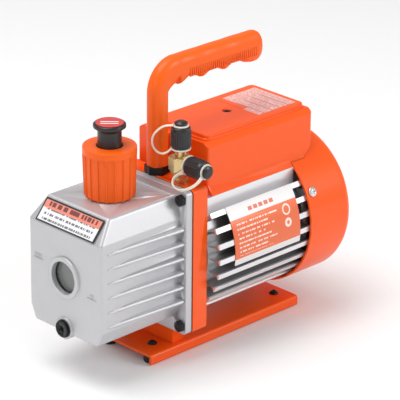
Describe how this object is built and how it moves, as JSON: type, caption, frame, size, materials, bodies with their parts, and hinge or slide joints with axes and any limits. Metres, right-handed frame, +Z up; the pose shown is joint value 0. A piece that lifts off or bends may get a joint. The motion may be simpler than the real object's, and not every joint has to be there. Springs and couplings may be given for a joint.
{
  "type": "rotary vane vacuum pump",
  "caption": "Portable single-stage rotary vane vacuum pump: cast oil casing, bracket, finned motor with fan cover, wiring box, carrying handle, capped intake tee and base on rubber feet.",
  "frame": {"origin": "centre of the footprint on the surface the feet stand on", "axes": "+Z up, +X from the sight glass end to the fan end along the shaft, -Y the nameplate side"},
  "size_m": [0.241, 0.116, 0.219],
  "materials": {
    "base_plate": "gloss orange powder coat",
    "bearing_balls": "polished",
    "bearing_inner_rings": "machined steel",
    "bearing_outer_rings": "machined steel",
    "box_lid": "gloss orange powder coat",
    "bracket_screws": "zinc plated",
    "capacitor": "white can",
    "capacitor_box": "gloss orange powder coat",
    "capacitor_clamp": "zinc plated",
    "casing_bolts": "black oxide",
    "casing_gasket": "gasket paper and rubber",
    "drain_plug": "black oxide",
    "drain_washer": "soft black rubber",
    "exhaust_cap": "orange plastic",
    "exhaust_filter": "felt",
    "exhaust_reed": "machined steel",
    "exhaust_stopper": "black plastic",
    "fan": "black plastic",
    "fan_cover": "gloss orange powder coat",
    "fan_cover_screws": "zinc plated",
    "foot_screws": "black oxide",
    "handle": "orange moulded",
    "handle_nut": "black oxide",
    "handle_stud": "machined steel",
    "intake_fitting": "turned brass",
    "intake_screen": "gauze",
    "lid_screw": "black oxide",
    "motor_housing": "bright drawn aluminium",
    "motor_rotor": "laminations and cast cage",
    "motor_shaft": "machined steel",
    "nameplate": "printed sheet",
    "oil_casing": "fine sand-cast silver",
    "power_inlet": "black plastic",
    "pump_back_plate": "ground",
    "pump_bolts": "black oxide",
    "pump_bracket": "gloss orange powder coat",
    "pump_front_plate": "ground",
    "pump_rotor": "machined steel",
    "pump_stator": "ground",
    "rear_end_bell": "fine sand-cast silver",
    "reed_screw": "zinc plated",
    "reed_stop": "machined steel",
    "rubber_feet": "soft black rubber",
    "shaft_seal": "soft black rubber",
    "side_flare_cap": "black plastic",
    "side_tether": "soft white plastic",
    "sight_glass_lens": "clear glass",
    "sight_glass_ring": "soft black rubber",
    "stator_core": "laminations",
    "stator_windings": "varnished copper",
    "stopper_badge": "printed red",
    "switch_frame": "black plastic",
    "switch_rocker": "red",
    "terminal_block": "ivory",
    "tie_bolts": "zinc plated",
    "top_flare_cap": "black plastic",
    "top_tether": "soft white plastic",
    "vane_left": "laminated resin",
    "vane_right": "laminated resin",
    "vane_springs": "machined steel"
  },
  "bodies": {
    "pump": {"base_plate": "base_plate", "bearing_balls": "bearing_balls", "bearing_outer_rings": "bearing_outer_rings", "box_lid": "box_lid", "bracket_screws": "bracket_screws", "capacitor": "capacitor", "capacitor_box": "capacitor_box", "capacitor_clamp": "capacitor_clamp", "casing_bolts": "casing_bolts", "casing_gasket": "casing_gasket", "fan_cover": "fan_cover", "fan_cover_screws": "fan_cover_screws", "foot_screws": "foot_screws", "handle": "handle", "handle_nut": "handle_nut", "handle_stud": "handle_stud", "intake_fitting": "intake_fitting", "intake_screen": "intake_screen", "lid_screw": "lid_screw", "motor_housing": "motor_housing", "nameplate": "nameplate", "oil_casing": "oil_casing", "power_inlet": "power_inlet", "pump_back_plate": "pump_back_plate", "pump_bolts": "pump_bolts", "pump_bracket": "pump_bracket", "pump_front_plate": "pump_front_plate", "pump_stator": "pump_stator", "rear_end_bell": "rear_end_bell", "reed_screw": "reed_screw", "reed_stop": "reed_stop", "rubber_feet": "rubber_feet", "shaft_seal": "shaft_seal", "sight_glass_lens": "sight_glass_lens", "sight_glass_ring": "sight_glass_ring", "stator_core": "stator_core", "stator_windings": "stator_windings", "switch_frame": "switch_frame", "terminal_block": "terminal_block", "tie_bolts": "tie_bolts"},
    "rotor": {"motor_shaft": "motor_shaft", "motor_rotor": "motor_rotor", "fan": "fan", "pump_rotor": "pump_rotor", "bearing_inner_rings": "bearing_inner_rings", "vane_springs": "vane_springs"},
    "vane_left_body": {"vane_left": "vane_left"},
    "vane_right_body": {"vane_right": "vane_right"},
    "reed": {"exhaust_reed": "exhaust_reed"},
    "filter_lift": {"exhaust_filter": "exhaust_filter"},
    "cap_body": {"exhaust_cap": "exhaust_cap"},
    "stopper": {"exhaust_stopper": "exhaust_stopper", "stopper_badge": "stopper_badge"},
    "top_cap_lift": {"top_tether": "top_tether"},
    "top_cap": {"top_flare_cap": "top_flare_cap"},
    "side_cap_lift": {"side_tether": "side_tether"},
    "side_cap": {"side_flare_cap": "side_flare_cap"},
    "drain_lift": {"drain_washer": "drain_washer"},
    "drain": {"drain_plug": "drain_plug"},
    "rocker": {"switch_rocker": "switch_rocker"}
  },
  "joints": [
    {"name": "rotor_spin", "type": "hinge", "parent": "pump", "child": "rotor", "pos_m": [-0.03405, 0, 0.078], "axis": [1, 0, 0], "continuous": true},
    {"name": "vane_left_slide", "type": "slide", "parent": "rotor", "child": "vane_left_body", "axis": [0, 1, 0], "range_m": [0, 0.0023]},
    {"name": "vane_right_slide", "type": "slide", "parent": "rotor", "child": "vane_right_body", "axis": [0, -1, 0], "range_m": [0, 0.0023]},
    {"name": "reed_flex", "type": "hinge", "parent": "pump", "child": "reed", "pos_m": [-0.05355, 0.01308, 0.09766], "axis": [0, 0.866, -0.5], "range_deg": [0, 5], "stiffness_Nm_per_rad": 0.02},
    {"name": "filter_lift", "type": "slide", "parent": "pump", "child": "filter_lift", "axis": [0, 0, 1], "range_m": [0, 0.008]},
    {"name": "exhaust_cap_turn", "type": "hinge", "parent": "filter_lift", "child": "cap_body", "pos_m": [-0.07315, 0, 0.14], "axis": [0, 0, 1], "range_deg": [0, 1440]},
    {"name": "stopper_pull", "type": "slide", "parent": "cap_body", "child": "stopper", "axis": [0, 0, 1], "range_m": [0, 0.02]},
    {"name": "top_cap_rise", "type": "slide", "parent": "pump", "child": "top_cap_lift", "axis": [0, 0, 1], "range_m": [0, 0.00762], "deforming": ["top_tether"]},
    {"name": "top_cap_turn", "type": "hinge", "parent": "top_cap_lift", "child": "top_cap", "pos_m": [-0.02715, -0.0244, 0.1601], "axis": [0, 0, 1], "range_deg": [0, 2160]},
    {"name": "side_cap_rise", "type": "slide", "parent": "pump", "child": "side_cap_lift", "axis": [0, -1, 0], "range_m": [0, 0.00762], "deforming": ["side_tether"]},
    {"name": "side_cap_turn", "type": "hinge", "parent": "side_cap_lift", "child": "side_cap", "pos_m": [-0.02715, -0.0336, 0.1485], "axis": [0, -1, 0], "range_deg": [0, 2160]},
    {"name": "drain_out", "type": "slide", "parent": "pump", "child": "drain_lift", "axis": [-1, 0, 0], "range_m": [0, 0.006]},
    {"name": "drain_turn", "type": "hinge", "parent": "drain_lift", "child": "drain", "pos_m": [-0.11805, 0, 0.0394], "axis": [-1, 0, 0], "range_deg": [0, 1440]},
    {"name": "switch_rock", "type": "hinge", "parent": "pump", "child": "rocker", "pos_m": [0.09885, 0.015, 0.1469], "axis": [0, 1, 0], "range_deg": [0, 16]}
  ],
  "couplings": [
    {"joint": "exhaust_cap_turn", "follows": "filter_lift", "rad_per_m": 3141.6},
    {"joint": "top_cap_turn", "follows": "top_cap_rise", "rad_per_m": 4947.4},
    {"joint": "side_cap_turn", "follows": "side_cap_rise", "rad_per_m": 4947.4},
    {"joint": "drain_turn", "follows": "drain_out", "rad_per_m": 4188.8}
  ]
}
